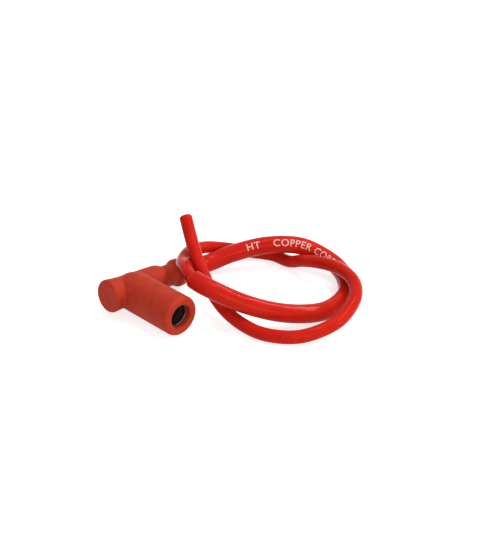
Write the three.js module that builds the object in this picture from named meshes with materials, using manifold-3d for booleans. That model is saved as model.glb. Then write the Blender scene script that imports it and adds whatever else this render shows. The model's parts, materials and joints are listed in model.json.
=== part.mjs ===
// Spark plug wire: a right-angle silicone plug cap on a high-tension lead that lies in two turns.
// Millimetres, +Z up. The origin is on the surface that the part lies on, under the middle of the cap.
import * as THREE from 'three';
import { mergeVertices } from 'three/addons/utils/BufferGeometryUtils.js';
import Module from 'manifold-3d';

const wasm = await Module();
wasm.setup();

// Lead: stranded core, insulation, and the printed sleeve over most of its first turn
const LEAD_RADIUS = 3.0;
const CORE_RADIUS = 1.3;
const SLEEVE_RADIUS = 4.25;
const CLEARANCE = 0.3;

// Leg of the cap, which slides over the plug. Its mouth faces -Y.
const LEG_RADIUS = 9.15;
const LEG_REACH = 34.6;
const LEG_MOUTH_ROUND = 1.5;
const LEG_BACK_START = 5.0;
const LEG_BACK_END = 6.8;
const PLUG_BORE_RADIUS = 5.4;
const PLUG_BORE_DEPTH = 13.0;
const MOUTH_LIP = 0.5;
const SEAL_RIB_HEIGHT = 0.35;
const SEAL_RIB_WIDTH = 1.4;
const SEAL_RIB_DEPTH = 7.5;

// Cable arm of the cap, from the knob to the collar
const ARM_REACH = 29.8;
const KNOB_REACH = 13.4;
const KNOB_RADIUS = 7.6;
const KNOB_ROUND = 1.4;
const KNOB_ROOT_RADIUS = 7.0;
const KNOB_ROOT = 5.0;
const SHOULDER_RADIUS = 6.85;
const SHOULDER_END = 14.6;
const NECK_RADIUS = 5.2;
const NECK_START = 21.0;
const COLLAR_RADIUS = 6.6;
const COLLAR_FLARE = 24.0;
const COLLAR_START = 27.2;
const COLLAR_ROUND = 0.5;
const SLEEVE_SEAT_DEPTH = 3.4;
const COLLAR_LIP = 0.5;
const COLLAR_LIP_DEPTH = 1.6;

// Steel ring in the mouth
const RING_DEPTH = 3.0;
const RING_WIDTH = 1.2;
const RING_INNER_RADIUS = 4.9;
const RING_OUTER_RADIUS = 5.8;

// Rigid housing in the leg
const HOUSING_RADIUS = 5.9;
const HOUSING_NOSE_RADIUS = 4.6;
const HOUSING_STEP = 4.5;
const HOUSING_END = 4.4;

// Brass socket for the plug's terminal nut, and the wire clip in it
const SOCKET_LENGTH = 7.6;
const SOCKET_RADIUS = 4.3;
const SOCKET_BORE_RADIUS = 3.35;
const SOCKET_FLOOR = 1.0;
const CLIP_WIRE_RADIUS = 0.3;
const CLIP_STAND_IN = 0.45;
const CLIP_DEPTH = 2.6;
const CLIP_SWEEP = 300;

// Resistor with its two pressed caps, and the spring behind it. The spring has its working length,
// and the resistor fills the rest of the way to the socket.
const RESISTOR_RADIUS = 2.1;
const RESISTOR_CAP_WALL = 0.4;
const RESISTOR_CAP_SHARE = 3 / 11;
const SPRING_LENGTH = 3.2;
const SPRING_RADIUS = 1.7;
const SPRING_WIRE_RADIUS = 0.25;
const SPRING_TURNS = 3;

// Cable terminal: a brass pin across the housing, with a screw that bites into the lead
const TERMINAL_RADIUS = 3.0;
const TERMINAL_TAIL = 8.4;
const TERMINAL_FRONT = 8.4;
const TERMINAL_CHAMFER = 0.5;
const SCREW_RADIUS = 1.3;
const SCREW_ROOT_RADIUS = 0.9;
const SCREW_PITCH = 1.25;
const SCREW_THREADS = 6;
const SCREW_POINT = 1.8;

// Facets
const ROUND_SEGMENTS = 40;
const SMALL_SEGMENTS = 24;
const CURVE_STEPS = 5;
const CORD_SIDES = 10;
const CORD_STEPS = 54;
const SLEEVE_STEPS = 23;
const SPRING_STEPS = 14;
const WIRE_SIDES = 8;
const CLIP_STEPS = 30;
const ROUTE_DIVISIONS = 2000;
const WELD = 1e-5;

// How far a cutting form reaches past the face that it opens
const OVERCUT = 1.0;

// Places along the leg and the arm that follow from the sizes above
const PLUG_BORE_END = LEG_REACH - PLUG_BORE_DEPTH;
const HOUSING_MOUTH = PLUG_BORE_END - CLEARANCE;
const SOCKET_SEAT = HOUSING_MOUTH - SOCKET_LENGTH;
const RESISTOR_FRONT = SOCKET_SEAT - CLEARANCE;
const SPRING_START = TERMINAL_RADIUS + CLEARANCE;
const SPRING_END = SPRING_START + SPRING_LENGTH;
const RESISTOR_BACK = SPRING_END + CLEARANCE;
const RESISTOR_CAP_LENGTH = (RESISTOR_FRONT - RESISTOR_BACK) * RESISTOR_CAP_SHARE;
const RESISTOR_CAP_RADIUS = RESISTOR_RADIUS + CLEARANCE + RESISTOR_CAP_WALL;
const CLIP_CENTRE_RADIUS = SOCKET_BORE_RADIUS - CLIP_STAND_IN + CLIP_WIRE_RADIUS;
const CLIP_GROOVE_RADIUS = CLIP_CENTRE_RADIUS + CLIP_WIRE_RADIUS + CLEARANCE;
const LEAD_BORE_RADIUS = LEAD_RADIUS + CLEARANCE;
const CORE_BORE_RADIUS = Math.max(CORE_RADIUS, SCREW_RADIUS) + CLEARANCE;
const LEAD_START = TERMINAL_FRONT + CLEARANCE;
const SLEEVE_SEAT = ARM_REACH - SLEEVE_SEAT_DEPTH;
const SCREW_END = TERMINAL_FRONT + SCREW_PITCH * SCREW_THREADS + SCREW_POINT;
const CORE_START = SCREW_END + CLEARANCE;

// The arm droops until the collar's rim meets the surface that the leg lies on.
const RIM_ANGLE = Math.atan2(COLLAR_RADIUS, ARM_REACH);
const DROOP = Math.asin(LEG_RADIUS / Math.hypot(ARM_REACH, COLLAR_RADIUS)) - RIM_ANGLE;

// How far a rounded end of the drooping arm reaches to its side
function extent(reach, radius, round) {
  return (reach - round) * Math.cos(DROOP) + (radius - round) * Math.sin(DROOP) + round;
}

const KNOB_EXTENT = extent(KNOB_REACH, KNOB_RADIUS, KNOB_ROUND);
const COLLAR_EXTENT = extent(ARM_REACH, COLLAR_RADIUS, COLLAR_ROUND);
const BACK_EXTENT = Math.max(LEG_BACK_END, KNOB_RADIUS);

// A point on the arm's axis, a distance from the leg's axis
function armPoint(distance) {
  return new THREE.Vector3(
    distance * Math.cos(DROOP),
    0,
    LEG_RADIUS - distance * Math.sin(DROOP),
  );
}

// The lead's route, from the crossing of the cap's axes and up from the surface. The first points
// keep it straight in the arm. It then crosses its second turn, goes round on the surface, climbs
// over the collar, where the sleeve ends, comes down behind, passes under itself and over the first
// turn, and goes round once more until its cut end rises through the loop.
const ROUTE = [
  armPoint(LEAD_START),
  armPoint((LEAD_START + ARM_REACH) / 2),
  armPoint(ARM_REACH),
  [46.1, -2.6, 5.9],
  [57, -7.3, 8.6],
  [70.9, -16.7, 11.6],
  [82.8, -28.4, 11.2],
  [86.8, -39.4, 8.4],
  [85.7, -50.6, 6.4],
  [79.4, -60.7, 5],
  [70.4, -67.4, 4.4],
  [53.3, -70.2, 4.9],
  [37.6, -63, 7.1],
  [24.9, -51.4, 11.5],
  [15.2, -37.9, 17.9],
  [14.1, -26.5, 19.5],
  [18.2, -17.3, 19.5],
  [22.9, -10, 17.6],
  [30.2, -4.3, 16.7],
  [39.7, 1.9, 13.6],
  [50.9, 3.8, 10.3],
  [61.7, 1.7, 6.5],
  [71.3, -5.1, 3.6],
  [77.5, -15.3, 3.2],
  [77.6, -26, 3.8],
  [76.9, -35.8, 8.1],
  [77, -46.5, 11.1],
  [76.9, -57.4, 12.5],
  [73.7, -68, 12.6],
  [68.3, -75.2, 11.9],
  [60, -80.5, 10.6],
  [46, -83, 7.5],
  [30.7, -76.4, 4.3],
  [22.3, -62.9, 3.1],
  [20.3, -51.5, 4],
  [20.9, -40.4, 5.9],
  [23.1, -30.1, 9.3],
  [26.1, -20.4, 14.6],
  [29.3, -11.4, 21.8],
  [34, -0.3, 34.4],
];

// Joining and cutting
function solidOf(geometry) {
  const bare = geometry.clone();
  bare.deleteAttribute('normal');
  bare.deleteAttribute('uv');
  const merged = mergeVertices(bare, WELD);
  const triangles = merged.index.array;
  const kept = [];
  for (let i = 0; i < triangles.length; i += 3) {
    const [a, b, c] = [triangles[i], triangles[i + 1], triangles[i + 2]];
    if (a !== b && b !== c && c !== a) kept.push(a, b, c);
  }
  return new wasm.Manifold(new wasm.Mesh({
    numProp: 3,
    vertProperties: new Float32Array(merged.attributes.position.array),
    triVerts: new Uint32Array(kept),
  }));
}

function geometryOf(solid) {
  const mesh = solid.getMesh();
  const geometry = new THREE.BufferGeometry();
  const positions = new Float32Array(mesh.vertProperties);
  const triangles = new Uint32Array(mesh.triVerts);
  geometry.setAttribute('position', new THREE.BufferAttribute(positions, 3));
  geometry.setIndex(new THREE.BufferAttribute(triangles, 1));
  geometry.computeVertexNormals();
  return geometry;
}

// Turned forms. An outline is a path or a list of [radius, distance] corners, from the far end out.
function turned(outline, segments) {
  const points = outline instanceof THREE.Path
    ? outline.getPoints(CURVE_STEPS)
    : outline.map(([radius, distance]) => new THREE.Vector2(radius, distance));
  return new THREE.LatheGeometry(points, segments);
}

// About the leg's axis, with distances towards the mouth
function onLeg(outline, segments = SMALL_SEGMENTS) {
  return turned(outline, segments).rotateX(Math.PI);
}

// About the arm's axis, with distances towards the collar
function onArm(outline, segments = SMALL_SEGMENTS) {
  return turned(outline, segments).rotateZ(-Math.PI / 2).rotateY(DROOP);
}

function rod(radius, from, to, place, segments = SMALL_SEGMENTS) {
  return place([[0, from], [radius, from], [radius, to], [0, to]], segments);
}

// Silicone moulding
function legForm() {
  const outline = new THREE.Path();
  outline.moveTo(0, -LEG_BACK_END);
  outline.absellipse(
    0, LEG_BACK_START,
    LEG_RADIUS, LEG_BACK_START + LEG_BACK_END,
    -Math.PI / 2, 0,
  );
  outline.lineTo(LEG_RADIUS, LEG_REACH - LEG_MOUTH_ROUND);
  outline.absarc(
    LEG_RADIUS - LEG_MOUTH_ROUND, LEG_REACH - LEG_MOUTH_ROUND,
    LEG_MOUTH_ROUND, 0, Math.PI / 2,
  );
  outline.lineTo(0, LEG_REACH);
  return onLeg(outline, ROUND_SEGMENTS);
}

function armForm() {
  const taper = (NECK_START - SHOULDER_END) / 2;
  const flare = (COLLAR_START - COLLAR_FLARE) / 2;
  const outline = new THREE.Path();
  outline.moveTo(0, -KNOB_REACH);
  outline.lineTo(KNOB_RADIUS - KNOB_ROUND, -KNOB_REACH);
  outline.absarc(
    KNOB_RADIUS - KNOB_ROUND, KNOB_ROUND - KNOB_REACH,
    KNOB_ROUND, -Math.PI / 2, 0,
  );
  outline.lineTo(KNOB_ROOT_RADIUS, -KNOB_ROOT);
  outline.lineTo(SHOULDER_RADIUS, SHOULDER_END);
  outline.bezierCurveTo(
    SHOULDER_RADIUS, SHOULDER_END + taper,
    NECK_RADIUS, NECK_START - taper,
    NECK_RADIUS, NECK_START,
  );
  outline.lineTo(NECK_RADIUS, COLLAR_FLARE);
  outline.bezierCurveTo(
    NECK_RADIUS, COLLAR_FLARE + flare,
    COLLAR_RADIUS, COLLAR_START - flare,
    COLLAR_RADIUS, COLLAR_START,
  );
  outline.lineTo(COLLAR_RADIUS, ARM_REACH - COLLAR_ROUND);
  outline.absarc(
    COLLAR_RADIUS - COLLAR_ROUND, ARM_REACH - COLLAR_ROUND,
    COLLAR_ROUND, 0, Math.PI / 2,
  );
  outline.lineTo(0, ARM_REACH);
  return onArm(outline, ROUND_SEGMENTS);
}

function legBore() {
  const noseRadius = HOUSING_NOSE_RADIUS + CLEARANCE;
  const pocketRadius = HOUSING_RADIUS + CLEARANCE;
  const grooveRadius = RING_OUTER_RADIUS + CLEARANCE;
  const ribRadius = PLUG_BORE_RADIUS - SEAL_RIB_HEIGHT;
  const rib = LEG_REACH - SEAL_RIB_DEPTH;
  const ringBack = LEG_REACH - RING_DEPTH - RING_WIDTH - CLEARANCE;
  const ringFront = LEG_REACH - RING_DEPTH + CLEARANCE;
  return onLeg([
    [0, -HOUSING_END - CLEARANCE],
    [noseRadius, -HOUSING_END - CLEARANCE],
    [noseRadius, HOUSING_STEP - CLEARANCE],
    [pocketRadius, HOUSING_STEP - CLEARANCE],
    [pocketRadius, PLUG_BORE_END],
    [PLUG_BORE_RADIUS, PLUG_BORE_END],
    [PLUG_BORE_RADIUS, rib - SEAL_RIB_WIDTH],
    [ribRadius, rib - SEAL_RIB_WIDTH / 4],
    [ribRadius, rib + SEAL_RIB_WIDTH / 4],
    [PLUG_BORE_RADIUS, rib + SEAL_RIB_WIDTH],
    [PLUG_BORE_RADIUS, ringBack],
    [grooveRadius, ringBack],
    [grooveRadius, ringFront],
    [PLUG_BORE_RADIUS, ringFront],
    [PLUG_BORE_RADIUS, LEG_REACH - MOUTH_LIP],
    [PLUG_BORE_RADIUS + MOUTH_LIP, LEG_REACH],
    [PLUG_BORE_RADIUS + MOUTH_LIP, LEG_REACH + OVERCUT],
    [0, LEG_REACH + OVERCUT],
  ], ROUND_SEGMENTS);
}

function armBore() {
  const terminalRadius = TERMINAL_RADIUS + CLEARANCE;
  const sleeveRadius = SLEEVE_RADIUS + CLEARANCE;
  return onArm([
    [0, -TERMINAL_TAIL - CLEARANCE],
    [terminalRadius, -TERMINAL_TAIL - CLEARANCE],
    [terminalRadius, TERMINAL_FRONT + CLEARANCE],
    [LEAD_BORE_RADIUS, TERMINAL_FRONT + CLEARANCE],
    [LEAD_BORE_RADIUS, SLEEVE_SEAT],
    [sleeveRadius, SLEEVE_SEAT],
    [sleeveRadius, ARM_REACH - COLLAR_LIP_DEPTH],
    [sleeveRadius + COLLAR_LIP, ARM_REACH],
    [sleeveRadius + COLLAR_LIP, ARM_REACH + OVERCUT],
    [0, ARM_REACH + OVERCUT],
  ], ROUND_SEGMENTS);
}

function capBoot() {
  const form = solidOf(legForm()).add(solidOf(armForm()));
  return form.subtract(solidOf(legBore())).subtract(solidOf(armBore()));
}

function mouthRing() {
  const front = LEG_REACH - RING_DEPTH;
  const back = front - RING_WIDTH;
  return onLeg([
    [RING_INNER_RADIUS, back],
    [RING_OUTER_RADIUS, back],
    [RING_OUTER_RADIUS, front],
    [RING_INNER_RADIUS, front],
    [RING_INNER_RADIUS, back],
  ], ROUND_SEGMENTS);
}

// Housing and the circuit in it
function housing() {
  const body = solidOf(onLeg([
    [0, -HOUSING_END],
    [HOUSING_NOSE_RADIUS, -HOUSING_END],
    [HOUSING_NOSE_RADIUS, HOUSING_STEP],
    [HOUSING_RADIUS, HOUSING_STEP],
    [HOUSING_RADIUS, HOUSING_MOUTH],
    [0, HOUSING_MOUTH],
  ], ROUND_SEGMENTS));
  const bore = solidOf(onLeg([
    [0, 0],
    [RESISTOR_CAP_RADIUS + CLEARANCE, 0],
    [RESISTOR_CAP_RADIUS + CLEARANCE, SOCKET_SEAT - CLEARANCE],
    [SOCKET_RADIUS + CLEARANCE, SOCKET_SEAT - CLEARANCE],
    [SOCKET_RADIUS + CLEARANCE, HOUSING_MOUTH + OVERCUT],
    [0, HOUSING_MOUTH + OVERCUT],
  ]));
  const past = 2 * HOUSING_RADIUS;
  const across = solidOf(rod(TERMINAL_RADIUS + CLEARANCE, -past, past, onArm));
  return body.subtract(bore).subtract(across);
}

function plugSocket() {
  const groove = HOUSING_MOUTH - CLIP_DEPTH;
  const half = CLIP_WIRE_RADIUS + CLEARANCE;
  return onLeg([
    [0, SOCKET_SEAT],
    [SOCKET_RADIUS, SOCKET_SEAT],
    [SOCKET_RADIUS, HOUSING_MOUTH],
    [SOCKET_BORE_RADIUS, HOUSING_MOUTH],
    [SOCKET_BORE_RADIUS, groove + half],
    [CLIP_GROOVE_RADIUS, groove + half],
    [CLIP_GROOVE_RADIUS, groove - half],
    [SOCKET_BORE_RADIUS, groove - half],
    [SOCKET_BORE_RADIUS, SOCKET_SEAT + SOCKET_FLOOR],
    [0, SOCKET_SEAT + SOCKET_FLOOR],
  ], ROUND_SEGMENTS);
}

class Ring extends THREE.Curve {
  getPoint(t, target = new THREE.Vector3()) {
    const angle = THREE.MathUtils.degToRad(CLIP_SWEEP) * (t - 0.5);
    return target.set(
      CLIP_CENTRE_RADIUS * Math.cos(angle),
      CLIP_DEPTH - HOUSING_MOUTH,
      CLIP_CENTRE_RADIUS * Math.sin(angle),
    );
  }
}

class Helix extends THREE.Curve {
  getPoint(t, target = new THREE.Vector3()) {
    const from = SPRING_START + SPRING_WIRE_RADIUS;
    const to = SPRING_END - SPRING_WIRE_RADIUS;
    const angle = 2 * Math.PI * SPRING_TURNS * t;
    return target.set(
      SPRING_RADIUS * Math.cos(angle),
      -from - (to - from) * t,
      SPRING_RADIUS * Math.sin(angle),
    );
  }
}

function disc(radius, sides) {
  const corners = [];
  for (let i = 0; i < sides; i += 1) {
    const angle = (2 * Math.PI * i) / sides;
    corners.push(new THREE.Vector2(radius * Math.cos(angle), radius * Math.sin(angle)));
  }
  return corners;
}

function swept(curve, steps, radius, sides, boreRadius = 0) {
  const section = new THREE.Shape(disc(radius, sides));
  if (boreRadius > 0) section.holes.push(new THREE.Path(disc(boreRadius, sides).reverse()));
  return new THREE.ExtrudeGeometry(section, { steps, extrudePath: curve, bevelEnabled: false });
}

function resistorCap(end, inward) {
  const outline = [
    [0, end],
    [RESISTOR_CAP_RADIUS, end],
    [RESISTOR_CAP_RADIUS, end + inward * RESISTOR_CAP_LENGTH],
    [RESISTOR_RADIUS + CLEARANCE, end + inward * RESISTOR_CAP_LENGTH],
    [RESISTOR_RADIUS + CLEARANCE, end + inward * RESISTOR_CAP_WALL],
    [0, end + inward * RESISTOR_CAP_WALL],
  ];
  return onLeg(inward > 0 ? outline : outline.reverse());
}

function cableTerminal() {
  const outline = [
    [0, -TERMINAL_TAIL],
    [TERMINAL_RADIUS - TERMINAL_CHAMFER, -TERMINAL_TAIL],
    [TERMINAL_RADIUS, TERMINAL_CHAMFER - TERMINAL_TAIL],
    [TERMINAL_RADIUS, TERMINAL_FRONT],
    [SCREW_ROOT_RADIUS, TERMINAL_FRONT],
  ];
  for (let i = 0; i < SCREW_THREADS; i += 1) {
    const root = TERMINAL_FRONT + SCREW_PITCH * i;
    outline.push([SCREW_RADIUS, root + SCREW_PITCH / 2]);
    outline.push([SCREW_ROOT_RADIUS, root + SCREW_PITCH]);
  }
  outline.push([0, SCREW_END]);
  return onArm(outline);
}

// The first share of a route. Its stations are those of the whole route.
class Stretch extends THREE.Curve {
  constructor(route, share) {
    super();
    this.route = route;
    this.share = share;
  }

  getPoint(t, target) {
    return this.route.getPointAt(t * this.share, target);
  }

  getUtoTmapping(u) {
    return u;
  }
}

function leadRoute() {
  const points = ROUTE.map((point) => (Array.isArray(point) ? new THREE.Vector3(...point) : point));
  const route = new THREE.CatmullRomCurve3(points, false, 'centripetal');
  route.arcLengthDivisions = ROUTE_DIVISIONS;
  return route;
}

function leadPart(steps, radius, boreRadius, from) {
  const curve = new Stretch(leadRoute(), steps / CORD_STEPS);
  const tube = swept(curve, steps, radius, CORD_SIDES, boreRadius);
  if (from === undefined) return tube;
  const inside = rod(radius + OVERCUT, LEAD_START - OVERCUT, from, onArm);
  return solidOf(tube).subtract(solidOf(inside.translate(0, 0, LEG_RADIUS)));
}

// Scene graph
const materials = {
  boot: { color: 0xb23a2b, roughness: 0.75, metalness: 0 },
  lead: { color: 0xc81c14, roughness: 0.3, metalness: 0 },
  sleeve: { color: 0xcc2018, roughness: 0.28, metalness: 0 },
  copper: { color: 0xb8743a, roughness: 0.35, metalness: 1 },
  steel: { color: 0xa9a9ad, roughness: 0.3, metalness: 1 },
  brass: { color: 0xc9a24a, roughness: 0.35, metalness: 1 },
  plastic: { color: 0x1c1c1e, roughness: 0.6, metalness: 0 },
  ceramic: { color: 0xd9cfba, roughness: 0.5, metalness: 0 },
};

function named(name, form, finish) {
  const solid = form instanceof THREE.BufferGeometry ? solidOf(form) : form;
  const mesh = new THREE.Mesh(geometryOf(solid), new THREE.MeshStandardMaterial(materials[finish]));
  mesh.name = name;
  return mesh;
}

const cap = new THREE.Group();
cap.position.z = LEG_RADIUS;
cap.add(named('cap_boot', capBoot(), 'boot'));
cap.add(named('mouth_ring', mouthRing(), 'steel'));
cap.add(named('insulating_housing', housing(), 'plastic'));
cap.add(named('plug_socket', plugSocket(), 'brass'));
cap.add(named('socket_clip', swept(new Ring(), CLIP_STEPS, CLIP_WIRE_RADIUS, WIRE_SIDES), 'steel'));
const rodInset = RESISTOR_CAP_WALL + CLEARANCE;
const rodForm = rod(RESISTOR_RADIUS, RESISTOR_BACK + rodInset, RESISTOR_FRONT - rodInset, onLeg);
cap.add(named('resistor_rod', rodForm, 'ceramic'));
cap.add(named('resistor_cap_front', resistorCap(RESISTOR_FRONT, -1), 'brass'));
cap.add(named('resistor_cap_back', resistorCap(RESISTOR_BACK, 1), 'brass'));
cap.add(named(
  'contact_spring',
  swept(new Helix(), SPRING_STEPS * SPRING_TURNS, SPRING_WIRE_RADIUS, WIRE_SIDES),
  'steel',
));
cap.add(named('cable_terminal', cableTerminal(), 'brass'));

const lead = new THREE.Group();
lead.add(named('lead_insulation', leadPart(CORD_STEPS, LEAD_RADIUS, CORE_BORE_RADIUS), 'lead'));
lead.add(named(
  'lead_sleeve',
  leadPart(SLEEVE_STEPS, SLEEVE_RADIUS, LEAD_BORE_RADIUS, SLEEVE_SEAT + CLEARANCE),
  'sleeve',
));
lead.add(named('lead_core', leadPart(CORD_STEPS, CORE_RADIUS, 0, CORE_START), 'copper'));

const group = new THREE.Group();
group.add(cap, lead);
group.position.set(
  (KNOB_EXTENT - COLLAR_EXTENT) / 2,
  (LEG_REACH - BACK_EXTENT) / 2,
  0,
);

export default group;
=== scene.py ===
import json
import math

import bmesh
import bpy
import numpy as np
from mathutils import Matrix, Vector


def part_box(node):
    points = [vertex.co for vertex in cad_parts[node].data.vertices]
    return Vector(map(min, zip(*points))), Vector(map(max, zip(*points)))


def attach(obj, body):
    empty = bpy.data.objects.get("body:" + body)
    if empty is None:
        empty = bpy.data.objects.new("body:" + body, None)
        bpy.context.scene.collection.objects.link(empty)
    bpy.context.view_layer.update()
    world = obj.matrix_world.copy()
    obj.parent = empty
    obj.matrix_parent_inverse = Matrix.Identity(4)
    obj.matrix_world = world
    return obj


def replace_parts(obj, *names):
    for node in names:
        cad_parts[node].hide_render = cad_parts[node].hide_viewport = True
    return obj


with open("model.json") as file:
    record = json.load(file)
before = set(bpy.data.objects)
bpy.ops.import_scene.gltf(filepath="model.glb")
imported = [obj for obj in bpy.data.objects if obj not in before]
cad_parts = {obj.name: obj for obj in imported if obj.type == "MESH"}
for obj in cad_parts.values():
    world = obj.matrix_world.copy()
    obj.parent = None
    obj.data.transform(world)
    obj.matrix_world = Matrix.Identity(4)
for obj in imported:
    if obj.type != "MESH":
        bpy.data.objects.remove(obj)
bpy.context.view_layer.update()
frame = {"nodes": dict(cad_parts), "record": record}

MM = 0.001
CLEARANCE = 0.3 * MM

# Camera: the photograph is 480 by 533 pixels, and its middle is the camera's axis.
PHOTO_WIDTH = 480
PHOTO_MIDDLE = (240, 266.5)
FOCAL_PIXELS = 1038.75
SENSOR_WIDTH = 36.0
CAMERA_AZIMUTH = math.radians(-44.73)
CAMERA_ELEVATION = math.radians(28.55)
CAMERA_DISTANCE = 470 * MM
CROSSING_PIXEL = (130.4, 288.7)

# Lead and sleeve, in metres
LEAD_RADIUS = 0.003
LEAD_BORE_RADIUS = 0.0014
LEAD_START_ROUND = 0.0002
LEAD_END_ROUND = 0.0011
CORE_RADIUS = 0.0013
CORE_SETBACK = 0.0001
CORE_SIDES = 20
SLEEVE_RADIUS = 0.00425
SLEEVE_BORE_RADIUS = 0.00305
SLEEVE_START_ROUND = 0.0002
SLEEVE_END_ROUND = 0.0004
SLEEVE_SHARE = 23 / 54
LINE_STEP = 0.0015
TUBE_SIDES = 40
LEAD_BORE_STATIONS = 150
SLEEVE_BORE_STATIONS = 120
SPLINE_SHARES = 24
ROUND_STEPS = 6
SHARP_ANGLE = math.radians(40)

# Cap: the leg goes along -Y to the plug, and the arm along +X to the lead. In metres.
LEG_RADIUS = 0.00915
LEG_REACH = 0.0346
LEG_MOUTH_ROUND = 0.0016
LEG_BACK_START = 0.005
LEG_BACK_END = 0.0068
PLUG_BORE_RADIUS = 0.0054
PLUG_BORE_DEPTH = 0.013
MOUTH_LIP = 0.0007
SEAL_RIB_HEIGHT = 0.00035
SEAL_RIB_WIDTH = 0.0014
SEAL_RIB_DEPTH = 0.0075
RING_DEPTH = 0.003
RING_WIDTH = 0.0012
RING_INNER_RADIUS = 0.0049
RING_OUTER_RADIUS = 0.0058
HOUSING_RADIUS = 0.0062
HOUSING_END = 0.0047
HOUSING_STEP = 0.0042
HOUSING_NOSE_RADIUS = 0.0049
ARM_REACH = 0.0298
KNOB_REACH = 0.0134
KNOB_RADIUS = 0.0076
KNOB_ROUND = 0.0014
KNOB_ROOT_RADIUS = 0.007
KNOB_ROOT = 0.005
SHOULDER_RADIUS = 0.00685
SHOULDER_END = 0.0146
NECK_RADIUS = 0.0052
NECK_START = 0.021
COLLAR_RADIUS = 0.0066
COLLAR_FLARE = 0.024
COLLAR_START = 0.0272
COLLAR_ROUND = 0.0005
SLEEVE_SEAT_DEPTH = 0.0034
SLEEVE_SEAT_RADIUS = 0.00455
COLLAR_LIP = 0.0005
COLLAR_LIP_DEPTH = 0.0016
LEAD_SEAT_RADIUS = 0.0033
TERMINAL_FRONT = 0.0087
TERMINAL_POCKET_RADIUS = 0.0033

# The arm droops until the collar's rim meets the surface that the leg lies on.
RIM_ANGLE = math.atan2(COLLAR_RADIUS, ARM_REACH)
DROOP = math.asin(LEG_RADIUS / math.hypot(ARM_REACH, COLLAR_RADIUS)) - RIM_ANGLE

# The crossing of the leg's and the arm's axes
ring_low, ring_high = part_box("mouth_ring")
CROSSING = Vector((
    (ring_low.x + ring_high.x) / 2,
    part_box("cap_boot")[0].y + LEG_REACH,
    LEG_RADIUS,
))


def arm_point(distance):
    """A point on the arm's axis, that far from the crossing."""
    return CROSSING + Vector((distance * math.cos(DROOP), 0, -distance * math.sin(DROOP)))


def make_camera():
    """The photograph's camera, turned so that the crossing falls on its pixel."""
    azimuth, elevation = CAMERA_AZIMUTH, CAMERA_ELEVATION
    right = Vector((math.cos(azimuth), math.sin(azimuth), 0))
    back = Vector((
        math.sin(azimuth) * math.cos(elevation),
        -math.cos(azimuth) * math.cos(elevation),
        math.sin(elevation),
    ))
    up = back.cross(right)
    across = (CROSSING_PIXEL[0] - PHOTO_MIDDLE[0]) * CAMERA_DISTANCE / FOCAL_PIXELS
    above = (PHOTO_MIDDLE[1] - CROSSING_PIXEL[1]) * CAMERA_DISTANCE / FOCAL_PIXELS
    data = bpy.data.cameras.new("camera")
    data.sensor_fit = "HORIZONTAL"
    data.sensor_width = SENSOR_WIDTH
    data.lens = FOCAL_PIXELS * SENSOR_WIDTH / PHOTO_WIDTH
    data.clip_start = 0.01
    camera = bpy.data.objects.new("camera", data)
    bpy.context.collection.objects.link(camera)
    place = CROSSING - across * right - above * up + CAMERA_DISTANCE * back
    turn = Matrix((right, up, back)).transposed().to_4x4()
    camera.matrix_world = Matrix.Translation(place) @ turn
    bpy.context.scene.camera = camera


make_camera()

# The lead's route after the collar, in metres: along X and Y from the crossing of the cap's axes,
# and up from the surface. The first turn goes round over the second one's back and down to the
# surface in front, climbs at the left, where the sleeve ends, and comes down behind the collar. The
# second turn ducks under the sleeve there, climbs over the first turn at the right, goes round
# outside it and under it in front, and its end stands up through the loop.
ROUTE = [
    (0.0461, -0.0026, 0.0059),
    (0.057, -0.0073, 0.0086),
    (0.0709, -0.0167, 0.0116),
    (0.0828, -0.0284, 0.0112),
    (0.0868, -0.0394, 0.0084),
    (0.0857, -0.0506, 0.0064),
    (0.0794, -0.0607, 0.005),
    (0.0704, -0.0674, 0.0044),
    (0.0533, -0.0702, 0.0049),
    (0.0376, -0.063, 0.0071),
    (0.0249, -0.0514, 0.0115),
    (0.0152, -0.0379, 0.0179),
    (0.0141, -0.0265, 0.0195),
    (0.0182, -0.0173, 0.0195),
    (0.0229, -0.01, 0.0176),
    (0.0302, -0.0043, 0.0167),
    (0.0397, 0.0019, 0.0136),
    (0.0509, 0.0038, 0.0103),
    (0.0617, 0.0017, 0.0065),
    (0.0713, -0.0051, 0.0036),
    (0.0775, -0.0153, 0.0032),
    (0.0776, -0.026, 0.0038),
    (0.0769, -0.0358, 0.0081),
    (0.077, -0.0465, 0.0111),
    (0.0769, -0.0574, 0.0125),
    (0.0737, -0.068, 0.0126),
    (0.0683, -0.0752, 0.0119),
    (0.06, -0.0805, 0.0106),
    (0.046, -0.083, 0.0075),
    (0.0307, -0.0764, 0.0043),
    (0.0223, -0.0629, 0.0031),
    (0.0203, -0.0515, 0.004),
    (0.0209, -0.0404, 0.0059),
    (0.0231, -0.0301, 0.0093),
    (0.0261, -0.0204, 0.0146),
    (0.0293, -0.0114, 0.0218),
    (0.034, -0.0003, 0.0344),
]


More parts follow.
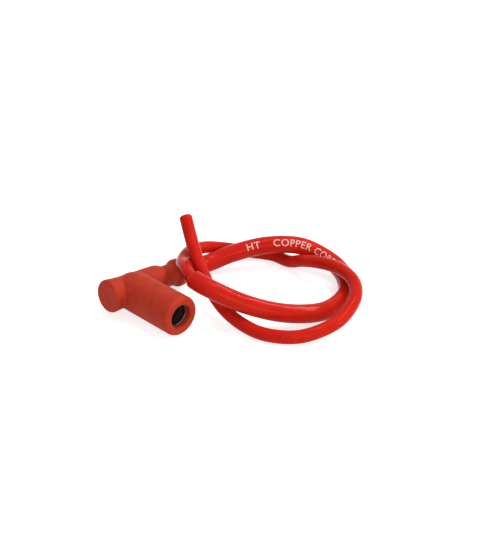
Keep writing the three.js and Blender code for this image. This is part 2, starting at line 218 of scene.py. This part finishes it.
def spline(points, step):
    """Points every step along the centripetal Catmull-Rom curve through the given points."""
    ends = [2 * points[0] - points[1], *points, 2 * points[-1] - points[-2]]
    share = np.linspace(0, 1, SPLINE_SHARES, endpoint=False)[:, None]
    pieces = []
    for a, b, c, d in zip(ends, ends[1:], ends[2:], ends[3:]):
        spans = ((a, b), (b, c), (c, d))
        before, along, after = (math.sqrt(np.linalg.norm(q - p)) for p, q in spans)
        leave = (b - a) / before - (c - a) / (before + along) + (c - b) / along
        arrive = (c - b) / along - (d - b) / (along + after) + (d - c) / after
        leave, arrive = leave * along, arrive * along
        pieces.append(
            b
            + share * leave
            + share**2 * (3 * (c - b) - 2 * leave - arrive)
            + share**3 * (2 * (b - c) + leave + arrive)
        )
    fine = np.vstack([*pieces, points[-1:]])
    lengths = np.concatenate([[0], np.cumsum(np.linalg.norm(np.diff(fine, axis=0), axis=1))])
    stations = np.linspace(0, lengths[-1], round(lengths[-1] / step) + 1)
    return np.stack([np.interp(stations, lengths, fine[:, k]) for k in range(3)], axis=1)


class Line:
    """A smooth line with a frame that doesn't twist, read by distance from its start."""

    def __init__(self, points):
        self.points = points
        steps = np.diff(points, axis=0)
        self.places = np.concatenate([[0], np.cumsum(np.linalg.norm(steps, axis=1))])
        self.length = self.places[-1]
        ahead = np.gradient(points, axis=0)
        self.ahead = ahead / np.linalg.norm(ahead, axis=1)[:, None]
        side = Vector((0, 0, 1))
        self.sides = []
        for direction in self.ahead:
            forward = Vector(direction)
            side = (side - side.dot(forward) * forward).normalized()
            self.sides.append(side)
        self.sides = np.array(self.sides)

    def at(self, distance):
        """The point, the direction and the two sides at a distance, which may lie past an end."""
        inside = min(max(distance, 0), self.length)
        point, ahead, side = (
            np.array([np.interp(inside, self.places, values[:, k]) for k in range(3)])
            for values in (self.points, self.ahead, self.sides)
        )
        ahead = ahead / np.linalg.norm(ahead)
        side = side - side.dot(ahead) * ahead
        side = side / np.linalg.norm(side)
        return point + (distance - inside) * ahead, ahead, side, np.cross(ahead, side)


def swept(name, line, section, sides=TUBE_SIDES, closed=False):
    """Rings round a line, by a list of (distance, radius). A ring of no radius is a point."""
    angles = np.linspace(0, 2 * math.pi, sides, endpoint=False)
    turn = np.stack([np.cos(angles), np.sin(angles)], axis=1)
    form = bmesh.new()
    rings = []
    for distance, radius in section:
        point, _, side, other = line.at(distance)
        if radius == 0:
            rings.append([form.verts.new(point)])
        else:
            places = point + radius * (turn[:, :1] * side + turn[:, 1:] * other)
            rings.append([form.verts.new(place) for place in places])
    pairs = list(zip(rings, rings[1:]))
    if closed:
        pairs.append((rings[-1], rings[0]))
    for one, two in pairs:
        for i in range(sides):
            j = (i + 1) % sides
            corners = [one[i % len(one)], one[j % len(one)], two[j % len(two)], two[i % len(two)]]
            form.faces.new(list(dict.fromkeys(corners)))
    return finished(name, form)


def finished(name, form):
    """A smooth-shaded object of a bmesh, with its faces pointing out."""
    bmesh.ops.recalc_face_normals(form, faces=form.faces)
    mesh = bpy.data.meshes.new(name)
    form.to_mesh(mesh)
    form.free()
    mesh.shade_smooth()
    mesh.set_sharp_from_angle(angle=SHARP_ANGLE)
    piece = bpy.data.objects.new(name, mesh)
    bpy.context.collection.objects.link(piece)
    return piece


def rounded(start, end, radius, round_start, round_end):
    """A section from start to end at one radius, with rounded ends."""
    quarter = np.linspace(0, math.pi / 2, ROUND_STEPS)
    section = [
        (start + round_start * (1 - math.cos(a)), radius - round_start * (1 - math.sin(a)))
        for a in quarter
    ]
    first, last = start + round_start, end - round_end
    middle = np.linspace(first, last, max(round((last - first) / LINE_STEP), 1) + 1)[1:-1]
    section += [(place, radius) for place in middle]
    section += [
        (end - round_end * (1 - math.cos(a)), radius - round_end * (1 - math.sin(a)))
        for a in quarter[::-1]
    ]
    return section


def node_material(name):
    """A new material and its tree, shader and a function that adds a node."""
    material = bpy.data.materials.new(name)
    material.use_nodes = True
    tree = material.node_tree
    shader = tree.nodes["Principled BSDF"]

    def add(kind, **values):
        node = tree.nodes.new(kind)
        for key, value in values.items():
            if key in node.inputs:
                node.inputs[key].default_value = value
            else:
                setattr(node, key, value)
        return node

    return material, tree, shader, add


def noise(tree, add, scale, detail=3.0, roughness=0.5, stretch=None):
    """Noise in the row frame, with scale in waves per metre."""
    coordinates = add("ShaderNodeTexCoord")
    pattern = add("ShaderNodeTexNoise", Scale=scale, Detail=detail, Roughness=roughness)
    if stretch is None:
        tree.links.new(coordinates.outputs["Object"], pattern.inputs["Vector"])
    else:
        mapping = add("ShaderNodeMapping", Scale=stretch)
        tree.links.new(coordinates.outputs["Object"], mapping.inputs["Vector"])
        tree.links.new(mapping.outputs["Vector"], pattern.inputs["Vector"])
    return pattern.outputs["Fac"]


def ramp(tree, add, source, low, high, start=0.35, end=0.65):
    """A colour that goes from low to high as the source goes from start to end."""
    node = add("ShaderNodeValToRGB")
    node.color_ramp.elements[0].position = start
    node.color_ramp.elements[1].position = end
    node.color_ramp.elements[0].color = (*low, 1)
    node.color_ramp.elements[1].color = (*high, 1)
    tree.links.new(source, node.inputs["Fac"])
    return node.outputs["Color"]


def spread(tree, add, source, low, high):
    """A number that goes from low to high as the source goes from 0.3 to 0.7."""
    node = add("ShaderNodeMapRange")
    for key, value in (("From Min", 0.3), ("From Max", 0.7), ("To Min", low), ("To Max", high)):
        node.inputs[key].default_value = value
    tree.links.new(source, node.inputs["Value"])
    return node.outputs["Result"]


def bumped(tree, add, shader, source, distance, strength):
    """Links a bump to the shader, so deep in metres."""
    node = add("ShaderNodeBump", Distance=distance, Strength=strength)
    tree.links.new(source, node.inputs["Height"])
    tree.links.new(node.outputs["Normal"], shader.inputs["Normal"])


def cap_silicone():
    """Matte brownish red silicone, finely mottled, with a soft bloom at grazing angles."""
    material, tree, shader, add = node_material("cap_silicone")
    blotches = noise(tree, add, scale=260, detail=4)
    colour = ramp(tree, add, blotches, (0.405, 0.0295, 0.0115), (0.462, 0.0365, 0.0145))
    tree.links.new(colour, shader.inputs["Base Color"])
    grain = noise(tree, add, scale=2600, detail=5, roughness=0.6)
    tree.links.new(spread(tree, add, grain, low=0.5, high=0.68), shader.inputs["Roughness"])
    bumped(tree, add, shader, grain, distance=0.00012, strength=0.6)
    shader.inputs["Specular IOR Level"].default_value = 0.12
    shader.inputs["Sheen Weight"].default_value = 0.02
    shader.inputs["Sheen Roughness"].default_value = 0.4
    shader.inputs["Sheen Tint"].default_value = (1, 0.7, 0.62, 1)
    return material


def glossy_red(name, low, high, roughness, specular):
    """Glossy red lead covering, faintly cloudy, with a fine orange peel."""
    material, tree, shader, add = node_material(name)
    clouds = noise(tree, add, scale=90, detail=3)
    tree.links.new(ramp(tree, add, clouds, low, high), shader.inputs["Base Color"])
    peel = noise(tree, add, scale=260, detail=2)
    tree.links.new(
        spread(tree, add, peel, roughness - 0.02, roughness + 0.03), shader.inputs["Roughness"]
    )
    bumped(tree, add, shader, peel, distance=0.00003, strength=0.25)
    shader.inputs["Specular IOR Level"].default_value = specular
    shader.inputs["Specular Tint"].default_value = (1, 0.6, 0.45, 1)
    return material


def metal(name, low, high, roughness):
    """Satin metal, a little tarnished, with its grain drawn out along Y."""
    material, tree, shader, add = node_material(name)
    shader.inputs["Metallic"].default_value = 1.0
    tarnish = noise(tree, add, scale=500, detail=4)
    tree.links.new(ramp(tree, add, tarnish, low, high), shader.inputs["Base Color"])
    grain = noise(tree, add, scale=1800, detail=4, stretch=(1, 0.12, 1))
    tree.links.new(
        spread(tree, add, grain, roughness - 0.08, roughness + 0.1), shader.inputs["Roughness"]
    )
    bumped(tree, add, shader, grain, distance=0.00004, strength=0.5)
    return material


def dull(name, low, high, roughness, scale=1500):
    """Plain moulded or fired material with a fine grain."""
    material, tree, shader, add = node_material(name)
    grain = noise(tree, add, scale, detail=5)
    tree.links.new(ramp(tree, add, grain, low, high), shader.inputs["Base Color"])
    tree.links.new(
        spread(tree, add, grain, roughness - 0.06, roughness + 0.08), shader.inputs["Roughness"]
    )
    bumped(tree, add, shader, grain, distance=0.00006, strength=0.5)
    return material


def stranded_copper():
    """Copper strands, seen as small bright wires with dark gaps on the cut end."""
    material, tree, shader, add = node_material("stranded_copper")
    coordinates = add("ShaderNodeTexCoord")
    cells = add("ShaderNodeTexVoronoi", Scale=2300, feature="DISTANCE_TO_EDGE")
    tree.links.new(coordinates.outputs["Object"], cells.inputs["Vector"])
    gap, wire = (0.12, 0.05, 0.03), (0.72, 0.36, 0.2)
    colour = ramp(tree, add, cells.outputs["Distance"], gap, wire, start=0.02, end=0.16)
    tree.links.new(colour, shader.inputs["Base Color"])
    shader.inputs["Metallic"].default_value = 1.0
    shader.inputs["Roughness"].default_value = 0.35
    bumped(tree, add, shader, cells.outputs["Distance"], distance=0.0002, strength=0.6)
    return material


# Each slot's material, with its darkest and its lightest colour and its roughness. The reds also
# have their specular level.
MATERIALS = {
    "boot": cap_silicone(),
    "lead": glossy_red("lead_red", (0.49, 0.012, 0.006), (0.56, 0.016, 0.009), 0.15, 0.045),
    "sleeve": glossy_red("sleeve_red", (0.49, 0.012, 0.006), (0.56, 0.016, 0.009), 0.1, 0.07),
    "copper": stranded_copper(),
    "steel": metal("steel", (0.07, 0.06, 0.06), (0.14, 0.12, 0.12), 0.4),
    "brass": metal("brass", (0.55, 0.38, 0.13), (0.72, 0.53, 0.22), 0.3),
    "plastic": dull("black_plastic", (0.010, 0.010, 0.011), (0.022, 0.022, 0.024), 0.5),
    "ceramic": dull("ceramic", (0.62, 0.56, 0.44), (0.74, 0.68, 0.56), 0.55),
}
# Near black painted shade for the plug bore's wall, from the ring inwards
BORE_PAINTED_SHADE = dull("bore_painted_shade", (0.014, 0.004, 0.003), (0.03, 0.009, 0.007), 0.6)
PRINT = dull("white_print", (0.6, 0.33, 0.29), (0.78, 0.52, 0.46), 0.5, scale=1800)


def dressed(piece, slot):
    """The piece with its slot's material, riding on the one body."""
    piece.data.materials.clear()
    piece.data.materials.append(MATERIALS[slot])
    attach(piece, "root")
    return piece


def lead_line():
    """The lead's middle line, from the cable terminal in the cap to the cut end."""
    below = Vector((CROSSING.x, CROSSING.y, 0))
    halfway = (TERMINAL_FRONT + ARM_REACH) / 2
    points = [arm_point(place) for place in (TERMINAL_FRONT, halfway, ARM_REACH)]
    points += [below + Vector(point) for point in ROUTE]
    return Line(spline(np.array([list(point) for point in points]), LINE_STEP))


line = lead_line()
sleeve_start = ARM_REACH - SLEEVE_SEAT_DEPTH - TERMINAL_FRONT + CLEARANCE
sleeve_end = line.length * SLEEVE_SHARE


def make_lead():
    outer = rounded(0, line.length, LEAD_RADIUS, LEAD_START_ROUND, LEAD_END_ROUND)
    places = np.linspace(line.length, 0, LEAD_BORE_STATIONS)
    bore = [(place, LEAD_BORE_RADIUS) for place in places]
    lead = dressed(swept("lead", line, outer + bore, closed=True), "lead")
    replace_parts(lead, "lead_insulation")
    core_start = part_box("lead_core")[0].x
    start = (core_start - arm_point(TERMINAL_FRONT).x) / math.cos(DROOP)
    places = np.linspace(start, line.length - CORE_SETBACK, LEAD_BORE_STATIONS)
    core_section = [(start, 0), *((place, CORE_RADIUS) for place in places), (places[-1], 0)]
    core = dressed(swept("copper_core", line, core_section, CORE_SIDES), "copper")
    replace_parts(core, "lead_core")
    return lead, core


def make_sleeve():
    outer = rounded(
        sleeve_start, sleeve_end, SLEEVE_RADIUS, SLEEVE_START_ROUND, SLEEVE_END_ROUND
    )
    places = np.linspace(sleeve_end, sleeve_start, SLEEVE_BORE_STATIONS)
    bore = [(place, SLEEVE_BORE_RADIUS) for place in places]
    sleeve = dressed(swept("sleeve", line, outer + bore, closed=True), "sleeve")
    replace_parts(sleeve, "lead_sleeve")
    return sleeve


lead, core = make_lead()
sleeve = make_sleeve()

# Cap


def arc(centre_place, centre_radius, place_size, radius_size, start, end, steps=12):
    """Points of an ellipse's arc, as (place along the axis, radius). Angle 0 is straight out."""
    angles = np.radians(np.linspace(start, end, steps))
    return [
        (centre_place + place_size * math.sin(a), centre_radius + radius_size * math.cos(a))
        for a in angles
    ]


def bezier(a, b, c, d):
    """Points of a cubic Bezier curve, as (place along the axis, radius)."""
    shares = np.linspace(0, 1, CURVE_STEPS)
    corners = np.array([a, b, c, d])
    return [
        tuple(
            (1 - t) ** 3 * corners[0]
            + 3 * (1 - t) ** 2 * t * corners[1]
            + 3 * (1 - t) * t**2 * corners[2]
            + t**3 * corners[3]
        )
        for t in shares
    ]


# The leg's and the arm's axes, from a little behind the crossing to past the leg's mouth
LINE_BEFORE = 0.03
AXIS_PLACES = (-LINE_BEFORE, 0, LINE_BEFORE, 2 * LINE_BEFORE)
LEG_LINE = Line(np.array([list(CROSSING + Vector((0, -place, 0))) for place in AXIS_PLACES]))
ARM_LINE = Line(np.array([list(arm_point(place)) for place in AXIS_PLACES]))

# How far a cutting form reaches past the face that it opens
OVERCUT = 0.001

# A Bezier curve's middle comes up to three quarters of its two inner points' height.
CURVE_LIFT = 1.33
CURVE_STEPS = 14


def turned(name, axis, outline, sides=96, closed=False):
    """A form turned about the leg's or the arm's axis, from (place, radius) points."""
    section = [(LINE_BEFORE + place, max(radius, 0)) for place, radius in outline]
    return swept(name, axis, section, sides, closed)


def leg_outline():
    points = [(-LEG_BACK_END, 0)]
    points += arc(LEG_BACK_START, 0, LEG_BACK_START + LEG_BACK_END, LEG_RADIUS, -85, 0, steps=20)
    mouth = LEG_REACH - LEG_MOUTH_ROUND
    points += arc(mouth, LEG_RADIUS - LEG_MOUTH_ROUND, LEG_MOUTH_ROUND, LEG_MOUTH_ROUND, 0, 90)
    return points + [(LEG_REACH, 0)]


def arm_outline():
    taper = (NECK_START - SHOULDER_END) / 2
    flare = (COLLAR_START - COLLAR_FLARE) / 2
    knob, end = KNOB_ROUND - KNOB_REACH, ARM_REACH - COLLAR_ROUND
    points = [(-KNOB_REACH, 0)]
    points += arc(knob, KNOB_RADIUS - KNOB_ROUND, KNOB_ROUND, KNOB_ROUND, -90, 0)
    points += [(-KNOB_ROOT, KNOB_ROOT_RADIUS)]
    points += bezier(
        (SHOULDER_END, SHOULDER_RADIUS),
        (SHOULDER_END + taper, SHOULDER_RADIUS),
        (NECK_START - taper, NECK_RADIUS),
        (NECK_START, NECK_RADIUS),
    )
    points += bezier(
        (COLLAR_FLARE, NECK_RADIUS),
        (COLLAR_FLARE + flare, NECK_RADIUS),
        (COLLAR_START - flare, COLLAR_RADIUS),
        (COLLAR_START, COLLAR_RADIUS),
    )
    points += arc(end, COLLAR_RADIUS - COLLAR_ROUND, COLLAR_ROUND, COLLAR_ROUND, 0, 90, steps=6)
    return points + [(ARM_REACH, 0)]


def leg_bore_outline():
    bore, rib = PLUG_BORE_RADIUS, LEG_REACH - SEAL_RIB_DEPTH
    front = LEG_REACH - RING_DEPTH + CLEARANCE
    back = LEG_REACH - RING_DEPTH - RING_WIDTH - CLEARANCE
    groove = RING_OUTER_RADIUS + CLEARANCE
    seat_end = LEG_REACH - PLUG_BORE_DEPTH
    points = [
        (-HOUSING_END, 0),
        (-HOUSING_END, HOUSING_NOSE_RADIUS),
        (HOUSING_STEP, HOUSING_NOSE_RADIUS),
        (HOUSING_STEP, HOUSING_RADIUS),
        (seat_end, HOUSING_RADIUS),
        (seat_end, bore),
    ]
    points += bezier(
        (rib - SEAL_RIB_WIDTH, bore),
        (rib - SEAL_RIB_WIDTH / 3, bore - CURVE_LIFT * SEAL_RIB_HEIGHT),
        (rib + SEAL_RIB_WIDTH / 3, bore - CURVE_LIFT * SEAL_RIB_HEIGHT),
        (rib + SEAL_RIB_WIDTH, bore),
    )
    points += [(back, bore), (back, groove), (front, groove), (front, bore)]
    lip = arc(LEG_REACH - MOUTH_LIP, bore + MOUTH_LIP, MOUTH_LIP, -MOUTH_LIP, 0, 90, steps=8)
    return points + lip + [(LEG_REACH + OVERCUT, bore + MOUTH_LIP), (LEG_REACH + OVERCUT, 0)]


def arm_bore_outline():
    pocket, lead_seat, sleeve_seat = TERMINAL_POCKET_RADIUS, LEAD_SEAT_RADIUS, SLEEVE_SEAT_RADIUS
    seat_place = ARM_REACH - SLEEVE_SEAT_DEPTH
    return [
        (-TERMINAL_FRONT, 0),
        (-TERMINAL_FRONT, pocket),
        (TERMINAL_FRONT, pocket),
        (TERMINAL_FRONT, lead_seat),
        (seat_place, lead_seat),
        (seat_place, sleeve_seat),
        (ARM_REACH - COLLAR_LIP_DEPTH, sleeve_seat),
        (ARM_REACH, sleeve_seat + COLLAR_LIP),
        (ARM_REACH + OVERCUT, sleeve_seat + COLLAR_LIP),
        (ARM_REACH + OVERCUT, 0),
    ]


def applied(piece):
    """Puts what a piece's modifiers make in the place of its mesh."""
    made = piece.evaluated_get(bpy.context.evaluated_depsgraph_get())
    mesh = bpy.data.meshes.new_from_object(made)
    piece.modifiers.clear()
    piece.data = mesh


def joined(name, pieces):
    """One object of several, which it takes the place of."""
    form = bmesh.new()
    for piece in pieces:
        form.from_mesh(piece.data)
        bpy.data.objects.remove(piece)
    return finished(name, form)


# The cap's skin, the fillet where the leg and the arm meet, and the painted shade in the plug bore
VOXEL = 0.00034
CAP_SHARP_ANGLE = math.radians(35)
FILLET_REACH = 0.0022
FILLET_PLATEAU = 0.25
FILLET_PASSES = 14
EVEN_PASSES = 4
BORE_SHADE_MARGIN = 0.5 * MM
BORE_SHADE_START = RING_DEPTH - 0.2 * MM
BORE_SHADE_END = PLUG_BORE_DEPTH + 0.3 * MM


def near_junction(mesh):
    """How close each vertex is to both the leg's and the arm's surfaces, from 0 to 1."""
    places = np.empty(len(mesh.vertices) * 3)
    mesh.vertices.foreach_get("co", places)
    offset = places.reshape(-1, 3) - np.array(CROSSING)
    direction = np.array((math.cos(DROOP), 0, -math.sin(DROOP)))
    along = offset @ direction
    outline = np.array(arm_outline())
    arm_radius = np.interp(along, outline[:, 0], outline[:, 1])
    arm = np.abs(np.linalg.norm(offset - along[:, None] * direction, axis=1) - arm_radius)
    reach = -offset[:, 1]
    profile = np.array(leg_outline())
    leg_radius = np.interp(reach, profile[:, 0], profile[:, 1])
    leg = np.abs(np.hypot(offset[:, 0], offset[:, 2]) - leg_radius)
    return np.clip(1 + FILLET_PLATEAU - np.maximum(arm, leg) / FILLET_REACH, 0, 1)


def paint_bore_shade(mesh):
    """Gives the plug bore's wall, from the ring inwards, a near black material: painted shade deep
    in the bore.
    """
    mesh.materials.append(BORE_PAINTED_SHADE)
    for face in mesh.polygons:
        offset = face.center - CROSSING
        depth = LEG_REACH + offset.y
        inside = math.hypot(offset.x, offset.z) < PLUG_BORE_RADIUS + BORE_SHADE_MARGIN
        if inside and BORE_SHADE_START < depth < BORE_SHADE_END:
            face.material_index = 1


def make_cap():
    """The leg and the arm as one skin with a fillet, and then both bores cut out of it."""
    forms = [turned("leg", LEG_LINE, leg_outline()), turned("arm", ARM_LINE, arm_outline())]
    cap = joined("cap_moulding", forms)
    remesh = cap.modifiers.new("one_skin", "REMESH")
    remesh.mode = "VOXEL"
    remesh.voxel_size = VOXEL
    applied(cap)
    closeness = near_junction(cap.data)
    group = cap.vertex_groups.new(name="junction")
    for index in np.nonzero(closeness > 0)[0]:
        group.add([int(index)], float(closeness[index]), "REPLACE")
    fillet = cap.modifiers.new("fillet", "SMOOTH")
    fillet.vertex_group = "junction"
    fillet.iterations = FILLET_PASSES
    even = cap.modifiers.new("even", "SMOOTH")
    even.iterations = EVEN_PASSES
    applied(cap)
    cutters = [
        turned("leg_bore", LEG_LINE, leg_bore_outline()),
        turned("arm_bore", ARM_LINE, arm_bore_outline(), sides=64),
    ]
    for cutter in cutters:
        cut = cap.modifiers.new(cutter.name, "BOOLEAN")
        cut.operation = "DIFFERENCE"
        cut.solver = "EXACT"
        cut.object = cutter
    applied(cap)
    for cutter in cutters:
        bpy.data.objects.remove(cutter)
    cap.data.shade_smooth()
    cap.data.set_sharp_from_angle(angle=CAP_SHARP_ANGLE)
    dressed(cap, "boot")
    # The plug bore's wall, from the ring inwards, gets painted shade
    paint_bore_shade(cap.data)
    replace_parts(cap, "cap_boot")


def make_mouth_ring():
    back, front = LEG_REACH - RING_DEPTH - RING_WIDTH, LEG_REACH - RING_DEPTH
    half = (RING_OUTER_RADIUS - RING_INNER_RADIUS) / 2
    middle = (RING_OUTER_RADIUS + RING_INNER_RADIUS) / 2
    width = (front - back) / 2
    outline = arc((back + front) / 2, middle, width, half, 0, 360, steps=25)[:-1]
    ring = turned("steel_ring", LEG_LINE, outline, closed=True)
    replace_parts(dressed(ring, "steel"), "mouth_ring")


make_cap()
make_mouth_ring()

NODE_SLOTS = {entry["node"]: entry["material_slot"] for entry in frame["record"]["subparts"]}
REPLACED = {"cap_boot", "mouth_ring", "lead_insulation", "lead_core", "lead_sleeve"}
for name, node in frame["nodes"].items():
    if name not in REPLACED:
        node.data.materials.clear()
        node.data.materials.append(MATERIALS[NODE_SLOTS[name]])

# Print on the sleeve: generic words, each with the place along the line where it starts
PRINT_HEIGHT = 0.0035
PRINT_LIFT = 0.00003
PRINT_ANGLE = math.radians(-47)
PRINT_BOLDNESS = 0.00004
PRINT_SPACING = 1.12
PRINT_SPLITS = 2
CAPITAL_SHARE = 0.7
WORDS = [("HT", 0.0572), ("COPPER", 0.0702), ("CORE", 0.092)]


def make_word(text, start):
    """A word that follows the sleeve's surface."""
    curve = bpy.data.curves.new(text, "FONT")
    curve.body = text
    curve.size = PRINT_HEIGHT / CAPITAL_SHARE
    curve.resolution_u = 4
    curve.offset = PRINT_BOLDNESS
    curve.space_character = PRINT_SPACING
    flat = bpy.data.objects.new(text, curve)
    bpy.context.collection.objects.link(flat)
    made = flat.evaluated_get(bpy.context.evaluated_depsgraph_get())
    mesh = bpy.data.meshes.new_from_object(made)
    bpy.data.objects.remove(flat)
    form = bmesh.new()
    form.from_mesh(mesh)
    bmesh.ops.triangulate(form, faces=form.faces)
    for _ in range(PRINT_SPLITS):
        bmesh.ops.subdivide_edges(form, edges=form.edges, cuts=1, use_grid_fill=True)
    radius = SLEEVE_RADIUS + PRINT_LIFT
    for vertex in form.verts:
        place = start + vertex.co.x
        angle = PRINT_ANGLE + (vertex.co.y - PRINT_HEIGHT / 2) / radius
        point, _, side, other = line.at(place)
        vertex.co = point + radius * (math.cos(angle) * side - math.sin(angle) * other)
    mesh = bpy.data.meshes.new("print_" + text.lower())
    form.to_mesh(mesh)
    form.free()
    word = bpy.data.objects.new(mesh.name, mesh)
    bpy.context.collection.objects.link(word)
    word.data.materials.append(PRINT)
    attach(word, "root")


for text, start in WORDS:
    make_word(text, start)

# Studio
FLOOR_SIZE = 6.0
FLOOR_WHITE = 0.72
FLOOR_GLOW = 0.68
WORLD_LIGHT = 0.37
WORLD_SEEN = 1.0
MIDDLE = (0.04, -0.02, 0.0)

# Each lamp's name, place, aim, size and power. The strip makes the long highlight on the front
# strand, and the low lamp the short one at its right.
LAMPS = [
    ("strip", (0.47, -0.26, 0.81), (0.04, -0.065, 0), (0.9, 0.09), 5.0),
    ("overhead", (0.195, 0.02, 0.94), MIDDLE, (0.3, 0.3), 2.2),
    ("front", (-0.6, -0.85, 0.45), MIDDLE, (0.7, 0.5), 4.6),
    ("low", (0.386, -1.0, 0.2), MIDDLE, (0.12, 0.12), 2.0),
]


def seen_rays(tree):
    """One for the rays that show a background: from the camera, a reflection or a clear body."""
    path = tree.nodes.new("ShaderNodeLightPath")
    highest = path.outputs["Is Camera Ray"]
    for ray in ("Is Glossy Ray", "Is Transmission Ray"):
        either = tree.nodes.new("ShaderNodeMath")
        either.operation = "MAXIMUM"
        tree.links.new(highest, either.inputs[0])
        tree.links.new(path.outputs[ray], either.inputs[1])
        highest = either.outputs["Value"]
    return highest


def make_floor():
    """A white floor that looks lit all over where it is seen, and still takes the shadows."""
    bpy.ops.mesh.primitive_plane_add(size=FLOOR_SIZE, location=(0, 0, 0))
    floor = bpy.context.object
    floor.name = "floor"
    material, tree, shader, add = node_material("white_floor")
    shader.inputs["Base Color"].default_value = (FLOOR_WHITE, FLOOR_WHITE, FLOOR_WHITE, 1)
    shader.inputs["Roughness"].default_value = 0.9
    shader.inputs["Specular IOR Level"].default_value = 0.0
    shader.inputs["Emission Color"].default_value = (1, 1, 1, 1)
    glow = add("ShaderNodeMath", operation="MULTIPLY")
    glow.inputs[1].default_value = FLOOR_GLOW
    tree.links.new(seen_rays(tree), glow.inputs[0])
    tree.links.new(glow.outputs["Value"], shader.inputs["Emission Strength"])
    floor.data.materials.append(material)


def make_world():
    """A white surround, which is white where it is seen and gives less light than that."""
    world = bpy.data.worlds.new("studio")
    bpy.context.scene.world = world
    world.use_nodes = True
    tree = world.node_tree
    background = tree.nodes["Background"]
    background.inputs["Color"].default_value = (1, 1, 1, 1)
    strength = tree.nodes.new("ShaderNodeMapRange")
    strength.inputs["To Min"].default_value = WORLD_LIGHT
    strength.inputs["To Max"].default_value = WORLD_SEEN
    tree.links.new(seen_rays(tree), strength.inputs["Value"])
    tree.links.new(strength.outputs["Result"], background.inputs["Strength"])


def soft_light(name, place, aim, size, power):
    """A rectangular lamp at a place, turned to its aim."""
    data = bpy.data.lights.new(name, "AREA")
    data.shape = "RECTANGLE"
    data.size, data.size_y = size
    data.energy = power
    light = bpy.data.objects.new(name, data)
    bpy.context.collection.objects.link(light)
    light.location = place
    light.rotation_euler = (Vector(aim) - Vector(place)).to_track_quat("-Z", "Y").to_euler()


make_floor()
make_world()
for lamp in LAMPS:
    soft_light(*lamp)

bpy.context.scene.view_settings.view_transform = "Standard"
